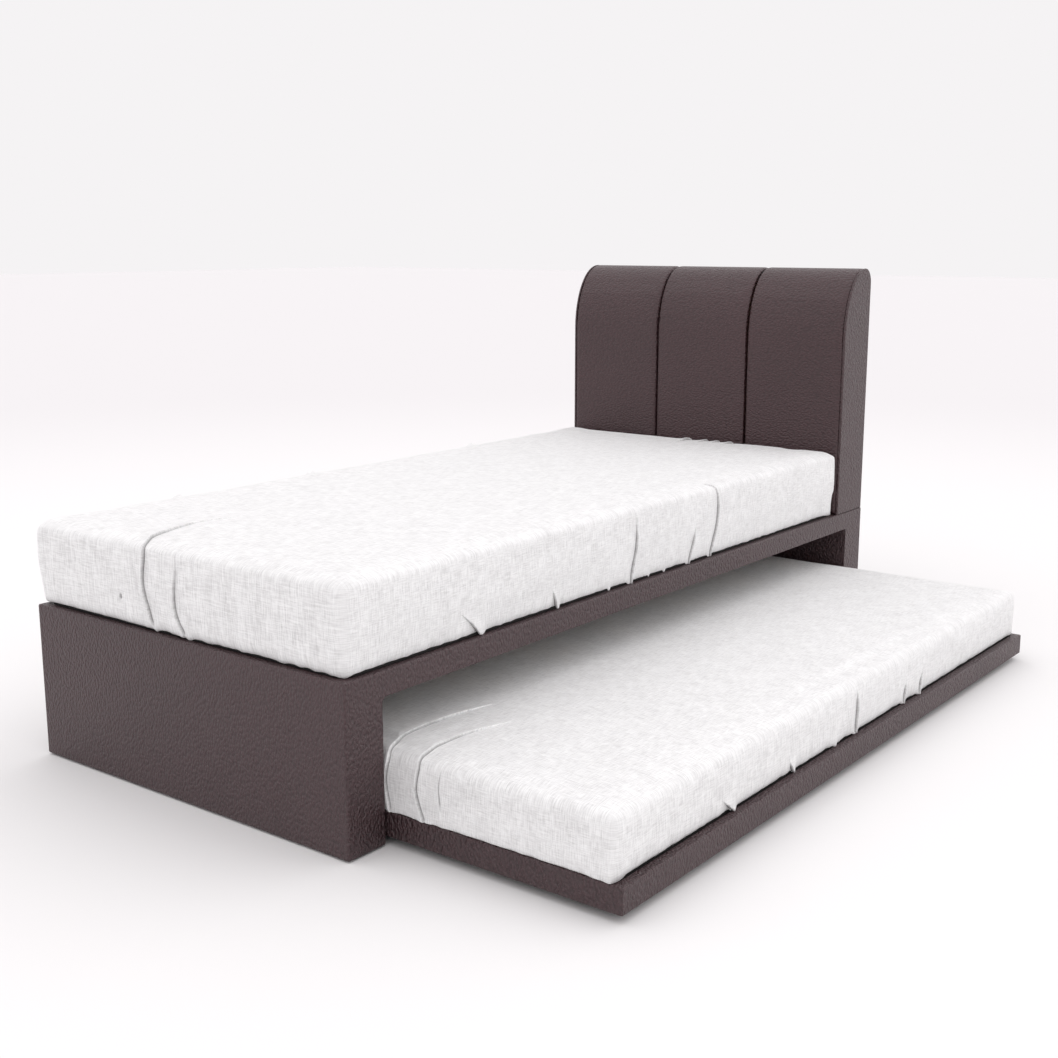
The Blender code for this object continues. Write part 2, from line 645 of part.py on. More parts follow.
def casters():
    """Four fixed casters let up inside the trundle, each with its channel, axle and wheel."""
    bracket = caster_bracket_mesh()
    reach = WHEEL_WIDTH / 2.0 + CASTER_SIDE_PLAY + CASTER_WALL
    for side, x in (("inner", TRUNDLE_IN_X + CASTER_INSET), ("outer", TRUNDLE_OUT_X - CASTER_INSET)):
        for end, y in (
            ("foot", TRUNDLE_FOOT_Y + CASTER_END_INSET), ("head", TRUNDLE_HEAD_Y - CASTER_END_INSET)
        ):
            centre = (x, y, WHEEL_RADIUS)
            add_object(f"caster_bracket_{side}_{end}", bracket.copy(), "zinc_plated_steel", centre)
            axle_pin(f"caster_axle_{side}_{end}", reach, centre)
            caster_wheel(f"caster_wheel_{side}_{end}", centre)


# ---- mattresses ---------------------------------------------------------------------------------


def mattress(node, low, high, radius):
    box_between(node, "white_mattress_fabric", low, high, radius, 4)


def mattresses():
    wall_x = WALL_X + MATTRESS_WALL_INSET
    foot_y = FOOT_Y + MATTRESS_FOOT
    mattress(
        "upper_mattress",
        (wall_x, foot_y, BASE_TOP + GAP),
        (wall_x + MATTRESS_WIDTH, foot_y + MATTRESS_LENGTH, MATTRESS_TOP),
        MATTRESS_ROUND,
    )
    mattress(
        "trundle_mattress",
        (
            TRUNDLE_IN_X + TRUNDLE_MATTRESS_INSET, TRUNDLE_FOOT_Y + TRUNDLE_MATTRESS_END_INSET,
            TRUNDLE_TOP + GAP,
        ),
        (
            TRUNDLE_OUT_X - TRUNDLE_MATTRESS_INSET, TRUNDLE_HEAD_Y - TRUNDLE_MATTRESS_END_INSET,
            TRUNDLE_MATTRESS_TOP,
        ),
        TRUNDLE_MATTRESS_ROUND,
    )


clear_scene()
PARTS = new_collection("trundle_bed")
CUTTERS = new_collection("cutters")
end_panel("foot_panel", FOOT_Y, BAY_FOOT_Y, 1.0)
end_panel("head_panel", BAY_HEAD_Y, HEAD_Y, -1.0)
side_rail()
wall_panel()
ledgers()
battens()
deck_boards()
corner_brackets()
glides()
headboard_cheeks()
headboard_pads()
headboard_ribs()
headboard_back()
headboard_brackets()
trundle_frame()
trundle_deck()
casters()
mattresses()
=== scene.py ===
"""The looks of an upholstered trundle bed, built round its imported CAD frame."""

import math

import bmesh
import bpy
import numpy as np
from mathutils import Matrix, Vector, noise
from mathutils.bvhtree import BVHTree


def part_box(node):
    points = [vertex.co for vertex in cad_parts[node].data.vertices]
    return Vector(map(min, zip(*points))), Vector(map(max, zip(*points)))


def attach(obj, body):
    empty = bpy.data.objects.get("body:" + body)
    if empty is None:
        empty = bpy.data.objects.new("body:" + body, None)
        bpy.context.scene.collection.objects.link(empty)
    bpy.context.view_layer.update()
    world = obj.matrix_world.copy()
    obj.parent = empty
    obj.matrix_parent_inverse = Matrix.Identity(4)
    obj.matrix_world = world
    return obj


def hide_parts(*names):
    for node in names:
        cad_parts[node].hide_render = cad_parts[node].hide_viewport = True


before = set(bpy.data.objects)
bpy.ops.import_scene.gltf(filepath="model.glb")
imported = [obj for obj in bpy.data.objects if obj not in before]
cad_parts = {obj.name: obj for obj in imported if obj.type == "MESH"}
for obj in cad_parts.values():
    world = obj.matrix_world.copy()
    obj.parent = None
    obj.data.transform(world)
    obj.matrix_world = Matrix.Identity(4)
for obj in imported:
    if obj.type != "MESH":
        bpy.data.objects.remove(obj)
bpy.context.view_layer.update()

# ---- camera and studio --------------------------------------------------------------------------
# A 48 mm lens at chest height off the foot and open side, in a white studio: a pale floor that runs
# out of sight, an even white surround a little brighter overhead, and no hard lamp anywhere.

foot_low, foot_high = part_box("foot_panel")

CAMERA_FROM_OPEN_SIDE = 1.749
CAMERA_FROM_FOOT = 1.7255
CAMERA_HEIGHT = 1.132
CAMERA_TURN = 37.61
CAMERA_DIP = 11.59
LENS = 48.12

camera_data = bpy.data.cameras.new("camera")
camera_data.lens = LENS
camera_data.sensor_width = 36.0
camera = bpy.data.objects.new("camera", camera_data)
camera.location = (foot_high.x + CAMERA_FROM_OPEN_SIDE, foot_low.y - CAMERA_FROM_FOOT, CAMERA_HEIGHT)
camera.rotation_euler = (math.radians(90.0 - CAMERA_DIP), 0.0, math.radians(CAMERA_TURN))
bpy.context.scene.collection.objects.link(camera)
bpy.context.scene.camera = camera
bpy.context.scene.view_settings.view_transform = "Standard"


def linear(hex_colour):
    """An sRGB hex colour as linear red, green, blue and full alpha."""
    channels = [int(hex_colour[i:i + 2], 16) / 255.0 for i in (1, 3, 5)]
    return tuple(c / 12.92 if c <= 0.04045 else ((c + 0.055) / 1.055) ** 2.4 for c in channels) + (1.0,)


def add_node(tree, kind, values=None, links=None, **settings):
    """Adds a shader node with its settings, its sockets' values, and links into its sockets."""
    made = tree.nodes.new(kind)
    for name, value in settings.items():
        setattr(made, name, value)
    for socket, value in (values or {}).items():
        made.inputs[socket].default_value = value
    for socket, source in (links or {}).items():
        tree.links.new(source, made.inputs[socket])
    return made


def new_material(name, **sockets):
    """A material with one Principled shader, its sockets set by name with _ for a space."""
    material = bpy.data.materials.new(name)
    material.use_nodes = True
    tree = material.node_tree
    shader = tree.nodes["Principled BSDF"]
    for socket, value in sockets.items():
        shader.inputs[socket.replace("_", " ")].default_value = value
    return material, tree, shader


STUDIO_HALF_WIDTH = 40.0
FLOOR_NEAR = "#E7E6E6"
# The far grey is painted shade, standing in for the light that falls off away from the bed.
FLOOR_FAR_SHADED = "#DBD9DA"
HORIZON_LIGHT = "#F5F3F4"
FLOOR_SHADE_FADE = (1.6, 7.5)         # from and to this far out, the floor turns from its near to its far grey
OVERHEAD_LIGHT = 1.50           # times the light that comes in level
OVERHEAD_RISE = (0.16, 0.75)    # the sine of the height where the light starts and ends growing
SIDE_LIGHT_POWER = 0.50
SIDE_LIGHT_SPREAD = 80.0        # degrees across, so its shadows have no edge
SIDE_LIGHT_FROM = Vector((0.50, 0.75, 0.30))

world = bpy.data.worlds.new("studio")
world.use_nodes = True
world_tree = world.node_tree
sky_direction = add_node(world_tree, "ShaderNodeTexCoord").outputs["Generated"]
sky_height = add_node(world_tree, "ShaderNodeSeparateXYZ", links={0: sky_direction}).outputs["Z"]
sky_strength = add_node(
    world_tree, "ShaderNodeMapRange",
    {"From Min": OVERHEAD_RISE[0], "From Max": OVERHEAD_RISE[1], "To Min": 1.0, "To Max": OVERHEAD_LIGHT},
    {"Value": sky_height},
)
sky_light = world_tree.nodes["Background"]
sky_light.inputs["Color"].default_value = linear(HORIZON_LIGHT)
world_tree.links.new(sky_strength.outputs[0], sky_light.inputs["Strength"])
bpy.context.scene.world = world

floor_mesh = bmesh.new()
bmesh.ops.create_grid(floor_mesh, x_segments=1, y_segments=1, size=STUDIO_HALF_WIDTH)
floor_data = bpy.data.meshes.new("studio_floor")
floor_mesh.to_mesh(floor_data)
floor_mesh.free()
floor = bpy.data.objects.new("studio_floor", floor_data)
bpy.context.scene.collection.objects.link(floor)
# Matt white floor paint with painted shade: greyer far away, where less light falls, so that no horizon
# shows.
floor_paint, floor_tree, floor_shader = new_material(
    "matt_white_studio_paint", Roughness=0.9, Specular_IOR_Level=0.1
)
floor_place = add_node(floor_tree, "ShaderNodeTexCoord").outputs["Object"]
floor_reach = add_node(floor_tree, "ShaderNodeVectorMath", links={0: floor_place}, operation="LENGTH")
floor_shade_share = add_node(
    floor_tree, "ShaderNodeMapRange", {"From Min": FLOOR_SHADE_FADE[0], "From Max": FLOOR_SHADE_FADE[1]},
    {"Value": floor_reach.outputs["Value"]}, interpolation_type="SMOOTHSTEP",
)
floor_tone = add_node(
    floor_tree, "ShaderNodeMix", {6: linear(FLOOR_NEAR), 7: linear(FLOOR_FAR_SHADED)}, {0: floor_shade_share.outputs[0]},
    data_type="RGBA",
)
floor_tree.links.new(floor_tone.outputs[2], floor_shader.inputs["Base Color"])
floor_data.materials.append(floor_paint)

side_light_data = bpy.data.lights.new("side_and_back_light", "SUN")
side_light_data.energy = SIDE_LIGHT_POWER
side_light_data.angle = math.radians(SIDE_LIGHT_SPREAD)
side_light = bpy.data.objects.new("side_and_back_light", side_light_data)
side_light.rotation_euler = SIDE_LIGHT_FROM.to_track_quat("Z", "Y").to_euler()
bpy.context.scene.collection.objects.link(side_light)


# ---- faux-leather panels and rails --------------------------------------------------------------
# The base panels, the headboard's ends and the trundle rails are boards wrapped in dark brown coated
# cloth. The cover is drawn tight over rounded edges and stapled out of sight.

LEATHER_DARK = "#271618"
LEATHER_LIGHT = "#3D2528"
LEATHER_SHEEN = "#FFF4F6"       # the coating's gloss is faintly warm
PEBBLE = 0.0052                 # grain cell; the real one is about 1.5 mm, too fine to show
FINE_GRAIN = 0.0011
GRAIN_DRIFT = 0.012             # over this length the pebbles drift out of line
CLOUD = 0.30                    # size of the soft changes in the coating's tone


def faux_leather(name, depth, shine, pull):
    """PVC-coated cloth: a satin pebble grain with painted shade in its valleys, over soft clouds of tone.

    depth is the height of the pebbles, and pull squeezes (above 1) or stretches them along each axis.
    """
    material, tree, shader = new_material(
        name, Roughness=0.40, Specular_IOR_Level=shine, Specular_Tint=linear(LEATHER_SHEEN)
    )
    place = add_node(tree, "ShaderNodeTexCoord").outputs["Object"]
    warp = add_node(
        tree, "ShaderNodeTexNoise", {"Scale": 1.0 / GRAIN_DRIFT, "Detail": 2.0}, {"Vector": place}
    )
    bent = add_node(
        tree, "ShaderNodeVectorMath", {1: (0.004, 0.004, 0.004)}, {0: warp.outputs["Color"], 2: place},
        operation="MULTIPLY_ADD",
    )
    pulled = add_node(tree, "ShaderNodeVectorMath", {1: pull}, {0: bent.outputs[0]}, operation="MULTIPLY")
    pebbles = add_node(
        tree, "ShaderNodeTexVoronoi", {"Scale": 1.0 / PEBBLE, "Smoothness": 0.5},
        {"Vector": pulled.outputs[0]}, feature="SMOOTH_F1",
    )
    fine = add_node(
        tree, "ShaderNodeTexNoise", {"Scale": 1.0 / FINE_GRAIN, "Detail": 3.0, "Roughness": 0.6},
        {"Vector": place},
    )
    cloud = add_node(
        tree, "ShaderNodeTexNoise", {"Scale": 1.0 / CLOUD, "Detail": 3.0, "Roughness": 0.55},
        {"Vector": place},
    )
    height = add_node(
        tree, "ShaderNodeMath", {1: 0.25}, {0: fine.outputs["Fac"], 2: pebbles.outputs["Distance"]},
        operation="MULTIPLY_ADD",
    )
    bump = add_node(
        tree, "ShaderNodeBump", {"Strength": 1.0, "Distance": depth}, {"Height": height.outputs[0]},
        invert=True,
    )
    # Painted shade: the pebbles' valleys are drawn darker.
    painted_valley_shade = add_node(
        tree, "ShaderNodeMapRange", {"From Min": 0.15, "From Max": 0.75, "To Min": 0.55, "To Max": -0.1},
        {"Value": pebbles.outputs["Distance"]},
    )
    tone = add_node(
        tree, "ShaderNodeMath", {1: 0.65}, {0: cloud.outputs["Fac"], 2: painted_valley_shade.outputs[0]},
        operation="MULTIPLY_ADD",
    )
    mix = add_node(
        tree, "ShaderNodeMix", {6: linear(LEATHER_DARK), 7: linear(LEATHER_LIGHT)}, {0: tone.outputs[0]},
        data_type="RGBA",
    )
    tree.links.new(mix.outputs[2], shader.inputs["Base Color"])
    tree.links.new(bump.outputs[0], shader.inputs["Normal"])
    return material


def finish_nodes(material, names):
    """Gives a CAD node, or several, one material."""
    for name in names:
        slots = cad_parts[name].data.materials
        slots.clear()
        slots.append(material)


leather = faux_leather("embossed_faux_leather", depth=0.0048, shine=0.78, pull=(1.0, 1.0, 0.62))
finish_nodes(leather, [
    "foot_panel", "head_panel", "side_rail", "wall_side_panel",
    "headboard_cheek_wall", "headboard_cheek_open",
    "trundle_inner_rail", "trundle_outer_rail", "trundle_foot_rail", "trundle_head_rail",
])


# ---- headboard pads -----------------------------------------------------------------------------
# Three upright foam pads under the same faux leather, glued to the headboard's front and carried over
# its curved top. The covers are tucked in at two narrow grooves, so each pad's long edges are rounded.

PAD_VOXEL = 0.005
PAD_SWELL = 0.0030
PAD_SINK = 0.0                  # how far the cover may draw in
PAD_PRESSURE = 4.0
PAD_GLUED = 0.004               # this much of a pad's back stays where it is glued
PAD_CLEARANCE = 0.0002          # from the next pad in a groove, and from the head panel below
SETTLE_FRAMES = 20


def apply_modifiers(piece):
    """Bakes a piece's modifiers into its mesh."""
    graph = bpy.context.evaluated_depsgraph_get()
    graph.update()
    baked = bpy.data.meshes.new_from_object(piece.evaluated_get(graph))
    piece.modifiers.clear()
    piece.data = baked


def read_points(mesh, what="co"):
    """A mesh's points, or their normals, as an array of rows."""
    flat = np.empty(len(mesh.vertices) * 3)
    mesh.vertices.foreach_get(what, flat)
    return flat.reshape(-1, 3)


def write_points(mesh, points):
    """Sets a mesh's points from an array of rows."""
    mesh.vertices.foreach_set("co", points.ravel())
    mesh.update()


def swell(piece, voxel, pressure, held, cap, sink):
    """Remeshes a closed form evenly, then lets it swell as cloth, `held` points staying put.

    A point moves out by at most cap, in by at most sink, and along the surface by at most half the cap.
    """
    remesh = piece.modifiers.new("even_mesh", "REMESH")
    remesh.mode = "VOXEL"
    remesh.voxel_size = voxel
    apply_modifiers(piece)
    rest = read_points(piece.data)
    outward = read_points(piece.data, "normal")
    group = piece.vertex_groups.new(name="held")
    group.add([i for i, point in enumerate(rest) if held(point)], 1.0, "REPLACE")
    cloth = piece.modifiers.new("swelling", "CLOTH")
    cloth.settings.quality = 5
    cloth.settings.use_pressure = True
    cloth.settings.uniform_pressure_force = pressure
    cloth.settings.effector_weights.gravity = 0.0
    cloth.settings.vertex_group_mass = "held"
    for step in range(1, SETTLE_FRAMES + 1):
        bpy.context.scene.frame_set(step)
    apply_modifiers(piece)
    bpy.context.scene.frame_set(1)
    piece.vertex_groups.clear()
    moved = read_points(piece.data) - rest
    out = np.sum(moved * outward, axis=1, keepdims=True)
    sideways = moved - out * outward
    length = np.linalg.norm(sideways, axis=1, keepdims=True)
    sideways *= np.minimum(1.0, 0.5 * cap / np.maximum(length, 1e-9))
    write_points(piece.data, rest + np.clip(out, -sink, cap) * outward + sideways)


def subdivide_once(piece):
    """Adds one smooth subdivision to a finished soft form."""
    smooth = piece.modifiers.new("finish", "SUBSURF")
    smooth.levels = 1
    smooth.render_levels = 1
    apply_modifiers(piece)
    piece.data.shade_smooth()


pad_leather = faux_leather("padded_faux_leather", depth=0.0024, shine=0.64, pull=(0.62, 1.0, 1.0))

for pad_name in ("headboard_pad_wall", "headboard_pad_middle", "headboard_pad_open"):
    pad_low, pad_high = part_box(pad_name)
    cover = bmesh.new()
    cover.from_mesh(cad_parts[pad_name].data)
    cover.transform(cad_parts[pad_name].matrix_world)
    bmesh.ops.remove_doubles(cover, verts=cover.verts, dist=0.00001)
    pad_data = bpy.data.meshes.new(pad_name + "_cover")
    cover.to_mesh(pad_data)
    cover.free()
    pad = bpy.data.objects.new(pad_name + "_cover", pad_data)
    bpy.context.scene.collection.objects.link(pad)
    pad_back = pad_high.y - PAD_GLUED
    swell(pad, PAD_VOXEL, PAD_PRESSURE, lambda p: p[1] > pad_back, PAD_SWELL, PAD_SINK)
    subdivide_once(pad)
    pad_points = read_points(pad.data)
    pad_points[:, 0] = np.clip(pad_points[:, 0], pad_low.x + PAD_CLEARANCE, pad_high.x - PAD_CLEARANCE)
    pad_points[:, 2] = np.maximum(pad_points[:, 2], pad_low.z + PAD_CLEARANCE)
    write_points(pad.data, pad_points)
    pad.data.materials.clear()
    pad.data.materials.append(pad_leather)
    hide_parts(pad_name)
    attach(pad, "upper_bed")


# ---- mattresses ---------------------------------------------------------------------------------
# Two foam mattresses in stretch-linen covers, pulled on and tucked under. The upper one swells past
# its base; the lower is thinner and squarer. Slack in each cover lies in a few lapped folds that run
# down the foot end, thin creases down the open side, and small tufts where the hem is caught below.

LINEN_WHITE = "#F0F0F0"
LINEN_SHADE = "#CAC9C9"
# Painted shade: the linen inside a fold's slot is drawn in this dark grey, as if no light reached it.
LINEN_PAINTED_SLOT_SHADE = "#625F60"       # the cloth inside a fold's slot, where hardly any light falls
THREAD = 0.0017                 # slub spacing; the real weave is about 0.6 mm, too fine to show
SLUB_LENGTH = 0.028
THREAD_WAVER = 0.0025           # how far a thread strays from straight, over WAVER_LENGTH
WAVER_LENGTH = 0.09
LINEN_PATCH = 0.045             # size of the soft thin and thick patches
LEVEL_THREADS = 0.8             # contrast of the threads that lie level on the sides
MATTRESS_VOXEL = 0.014
MATTRESS_PRESSURE = 4.0
MATTRESS_SWELL = 0.004
MATTRESS_SINK = 0.001
MATTRESS_HELD = 0.004           # the lowest part of a mattress doesn't swell
DRAWN_IN_BELOW = 0.55           # a side leans in towards its base below this share of its height
RIM_DRAW = 0.12                 # the top rim leans in too, by this share of what the base does
SLACK = 0.0011                  # height of the loose cover's gentle waves
HEM_HEIGHT = 0.010
HEM_RIPPLE = 0.003              # how far the gathers move the cover in and out above its hem
HEM_DEPTH = 0.024               # how far in from its edge a cover hangs below its base
HEM_DROP = 0.011                # how far the hem is drawn down, and more so near the corners
HEM_FADE = 0.02                 # the height over which that drawing down dies away
CORNER_DROP = 1.6
CORNER_REACH = 0.06
HEM_GATHER = 0.022              # length of one gather in the elastic hem below
HEM_CLEARANCE = 0.0005          # no part of a cover hangs lower than this above its base
# The slot is dug into the cover, and the cloth in it is also darkened with painted shade.
FOLD_SLOT = 0.0015              # half width of the dark slot under a fold's lip
FOLD_STEP = 0.0020              # width of the step from the slot up to the lip
SLOT_DEPTH = 0.80               # depth of the slot, as a share of the lip's height
HOLLOW_DEPTH = 0.40             # depth of the wide hollow beside it, likewise
FOLD_END = 0.006                # a fold dies away this far past its ends
FOLD_REACH = 0.030              # the mesh is made finer this far from a fold


def linen_ticking(name):
    """Plain-woven linen look: uneven threads each way, drawn along the axes of the face they lie on."""
    material, tree, shader = new_material(name, Roughness=0.85, Sheen_Weight=0.55, Sheen_Roughness=0.4)
    place = add_node(tree, "ShaderNodeTexCoord").outputs["Object"]
    waver = add_node(
        tree, "ShaderNodeTexNoise", {"Scale": 1.0 / WAVER_LENGTH, "Detail": 1.0}, {"Vector": place}
    )
    bent = add_node(
        tree, "ShaderNodeVectorMath", {1: (THREAD_WAVER,) * 3}, {0: waver.outputs["Color"], 2: place},
        operation="MULTIPLY_ADD",
    )
    threads = []
    for axis in range(3):
        repeats = [1.0 / SLUB_LENGTH] * 3
        repeats[axis] = 1.0 / THREAD
        stretched = add_node(
            tree, "ShaderNodeVectorMath", {1: tuple(repeats)}, {0: bent.outputs[0]}, operation="MULTIPLY"
        )
        threads.append(add_node(
            tree, "ShaderNodeTexNoise", {"Scale": 1.0, "Detail": 3.0, "Roughness": 0.6},
            {"Vector": stretched.outputs[0]},
        ).outputs["Fac"])
    each_way = add_node(tree, "ShaderNodeCombineXYZ", links={0: threads[0], 1: threads[1], 2: threads[2]})
    share = add_node(tree, "ShaderNodeAttribute", attribute_type="GEOMETRY", attribute_name="thread_share")
    evened = add_node(
        tree, "ShaderNodeVectorMath", {1: (0.5, 0.5, 0.5)}, {0: each_way.outputs[0]}, operation="SUBTRACT"
    )
    weave = add_node(
        tree, "ShaderNodeVectorMath", links={0: evened.outputs[0], 1: share.outputs["Vector"]},
        operation="DOT_PRODUCT",
    )
    patches = add_node(
        tree, "ShaderNodeTexNoise", {"Scale": 1.0 / LINEN_PATCH, "Detail": 3.0, "Roughness": 0.6},
        {"Vector": place},
    )
    tone = add_node(
        tree, "ShaderNodeMath", {1: 0.25}, {0: patches.outputs["Fac"], 2: weave.outputs["Value"]},
        operation="MULTIPLY_ADD",
    )
    shade = add_node(
        tree, "ShaderNodeMapRange", {"From Min": -0.12, "From Max": 0.28}, {"Value": tone.outputs[0]}
    )
    mix = add_node(
        tree, "ShaderNodeMix", {6: linear(LINEN_SHADE), 7: linear(LINEN_WHITE)}, {0: shade.outputs[0]},
        data_type="RGBA",
    )
    # Painted shade: the linen is mixed towards a dark grey inside fold slots, by a slot mask stored on the
    # mesh.
    slot_shade_mask = add_node(tree, "ShaderNodeAttribute", attribute_type="GEOMETRY", attribute_name="painted_slot_shade")
    shaded = add_node(
        tree, "ShaderNodeMix", {7: linear(LINEN_PAINTED_SLOT_SHADE)}, {0: slot_shade_mask.outputs["Fac"], 6: mix.outputs[2]},
        data_type="RGBA",
    )
    bump = add_node(
        tree, "ShaderNodeBump", {"Strength": 0.7, "Distance": 0.0012}, {"Height": weave.outputs["Value"]}
    )
    tree.links.new(shaded.outputs[2], shader.inputs["Base Color"])
    tree.links.new(bump.outputs[0], shader.inputs["Normal"])
    return material


def smooth_step(value):
    """An even S-curve from 0 to 1."""
    held = np.clip(value, 0.0, 1.0)
    return held * held * (3.0 - 2.0 * held)


def on_plane(vert, axis, place):
    """Whether a vertex lies on a plane across one axis."""
    return abs(vert.co[axis] - place) < 0.00001


def mattress_form(name, low, high, base_inset, plan_radii, top_radius, base_radius):
    """A closed block, round-cornered in plan, with rounded rims and sides drawn in at the base.

    base_inset is how far each side is drawn in: wall side, open side, foot, head. plan_radii are for
    the foot's wall and open corners, then the head's.
    """
    size = high - low
    middle = (low + high) / 2.0
    block = bmesh.new()
    place = Matrix.Translation(middle) @ Matrix.Diagonal((*size, 1.0))
    bmesh.ops.create_cube(block, size=1.0, matrix=place)
    for corner, radius in enumerate(plan_radii):
        side = (low.x, high.x)[corner % 2]
        end = (low.y, high.y)[corner // 2]
        upright = [
            e for e in block.edges if all(on_plane(v, 0, side) and on_plane(v, 1, end) for v in e.verts)
        ]
        bmesh.ops.bevel(
            block, geom=upright, offset=radius, segments=8, profile=0.5, affect="EDGES", material=-1
        )
    for height, radius in ((high.z, top_radius), (low.z, base_radius)):
        rim = [e for e in block.edges if all(on_plane(v, 2, height) for v in e.verts)]
        bmesh.ops.bevel(block, geom=rim, offset=radius, segments=6, profile=0.5, affect="EDGES", material=-1)
    tall = [e for e in block.edges if abs(e.verts[0].co.z - e.verts[1].co.z) > size.z / 3.0]
    bmesh.ops.subdivide_edges(block, edges=tall, cuts=12, use_grid_fill=True)
    for vert in block.verts:
        rise = (vert.co.z - low.z) / size.z
        below = 1.0 - float(smooth_step(rise / DRAWN_IN_BELOW))
        above = RIM_DRAW * float(smooth_step((rise - DRAWN_IN_BELOW) / (1.0 - DRAWN_IN_BELOW)))
        drawn = below + above
        x_low = low.x + base_inset[0] * drawn
        x_high = high.x - base_inset[1] * drawn
        y_low = low.y + base_inset[2] * drawn
        y_high = high.y - base_inset[3] * drawn
        vert.co.x = x_low + (vert.co.x - low.x) / size.x * (x_high - x_low)
        vert.co.y = y_low + (vert.co.y - low.y) / size.y * (y_high - y_low)
    form = bpy.data.meshes.new(name)
    block.to_mesh(form)
    block.free()
    piece = bpy.data.objects.new(name, form)
    bpy.context.scene.collection.objects.link(piece)
    return piece


def fold_line(surface, corners, spacing=0.006):
    """A smooth line through a fold's points, laid on the cover's surface."""
    knots = [2 * corners[0] - corners[1]] + corners + [2 * corners[-1] - corners[-2]]
    line = []
    for a, b, c, d in zip(knots, knots[1:], knots[2:], knots[3:]):
        steps = max(2, int((c - b).length / spacing))
        for i in range(steps):
            t = i / steps
            line.append(0.5 * (2 * b + (c - a) * t + (2 * a - 5 * b + 4 * c - d) * t ** 2
                               + (3 * b - a - 3 * c + d) * t ** 3))
    line.append(corners[-1])
    return [surface.find_nearest(point)[0] for point in line]


def nearest_on_line(points, line):
    """For each point: offset from the nearest spot of a line, the line's direction, and how far along."""
    starts = np.array([p[:] for p in line[:-1]])
    runs = np.array([p[:] for p in line[1:]]) - starts
    lengths = np.maximum(np.linalg.norm(runs, axis=1), 1e-9)
    reached = np.concatenate(([0.0], np.cumsum(lengths)))
    best = np.full(len(points), np.inf)
    offset = np.zeros_like(points)
    heading = np.zeros_like(points)
    along = np.zeros(len(points))
    for start, run, length, before in zip(starts, runs, lengths, reached):
        t = np.clip((points - start) @ run / length ** 2, 0.0, 1.0)
        gap = points - start - t[:, None] * run
        distance = np.linalg.norm(gap, axis=1)
        closer = distance < best
        best[closer] = distance[closer]
        offset[closer] = gap[closer]
        heading[closer] = run / length
        along[closer] = before + t[closer] * length
    return best, offset, heading, along / reached[-1]


def fold_cover(points, normals, line, rise, spread, lap, fade_in, fade_out):
    """One lapped fold: how each point of the cover moves, and how much painted shade it gets in the fold's
    slot.

    The lip stands on the right as the line runs on, seen from outside, and laps over the slot.
    """
    distance, offset, heading, along = nearest_on_line(points, line)
    rightward = np.cross(normals, heading)
    rightward /= np.maximum(np.linalg.norm(rightward, axis=1, keepdims=True), 1e-9)
    side = np.sum(offset * rightward, axis=1)
    strength = smooth_step(along / max(fade_in, 1e-6)) * smooth_step((1.0 - along) / max(fade_out, 1e-6))
    strength *= distance < 6.0 * spread
    past_end = np.sqrt(np.maximum(distance ** 2 - side ** 2, 0.0))
    strength *= np.exp(-(past_end / FOLD_END) ** 2)
    right = np.maximum(side, 0.0)
    left = np.maximum(-side, 0.0)
    step = smooth_step(side / FOLD_STEP + 0.5)
    lip = step * np.exp(-(right / spread) ** 1.4)
    slot = (1.0 - step) * np.exp(-(left / FOLD_SLOT) ** 2)
    hollow = (1.0 - step) * np.exp(-(left / (2.0 * spread)) ** 2)
    height = rise * (lip - HOLLOW_DEPTH * hollow - SLOT_DEPTH * slot)
    slide = lap * step * np.exp(-right / (2.0 * lap + 0.001))
    move = (height * strength)[:, None] * normals - (slide * strength)[:, None] * rightward
    return move, strength ** 2 * slot


def tuft_cover(points, normals, spot, reach, out, drop):
    """Moves a cover's points into a small pulled tuft at its hem."""
    gap = points - np.array(spot[:])
    share = np.exp(-np.sum(gap * gap, axis=1) / reach ** 2)
    return share[:, None] * (out * normals - np.array((0.0, 0.0, drop)))


def make_finer(form, places):
    """Splits a cover's mesh in three rounds, each of them closer to the places of its folds."""
    for reach in (FOLD_REACH, FOLD_REACH * 0.5, FOLD_REACH * 0.27):
        coordinates = np.array([v.co[:] for v in form.verts])
        close = np.zeros(len(coordinates), bool)
        for start in range(0, len(places), 64):
            some = places[start:start + 64]
            close |= np.linalg.norm(coordinates[:, None, :] - some[None], axis=2).min(axis=1) < reach
        form.verts.ensure_lookup_table()
        near = [e for e in form.edges if close[e.verts[0].index] and close[e.verts[1].index]]
        bmesh.ops.subdivide_edges(form, edges=near, cuts=1, use_grid_fill=True)
        form.verts.index_update()


def draw_down_hem(moved, points, low, high):
    """Draws the lower edge of a cover down past its base, and further at its corners."""
    from_side = np.minimum(points[:, 0] - low.x, high.x - points[:, 0])
    from_end = np.minimum(points[:, 1] - low.y, high.y - points[:, 1])
    near_edge = np.minimum(from_side, from_end) < HEM_DEPTH
    near_hem = near_edge * np.exp(-((points[:, 2] - low.z) / HEM_FADE) ** 2)
    near_corner = smooth_step(1.0 - np.hypot(from_side, from_end) / CORNER_REACH)
    moved[:, 2] -= near_hem * HEM_DROP * (1.0 + CORNER_DROP * near_corner)


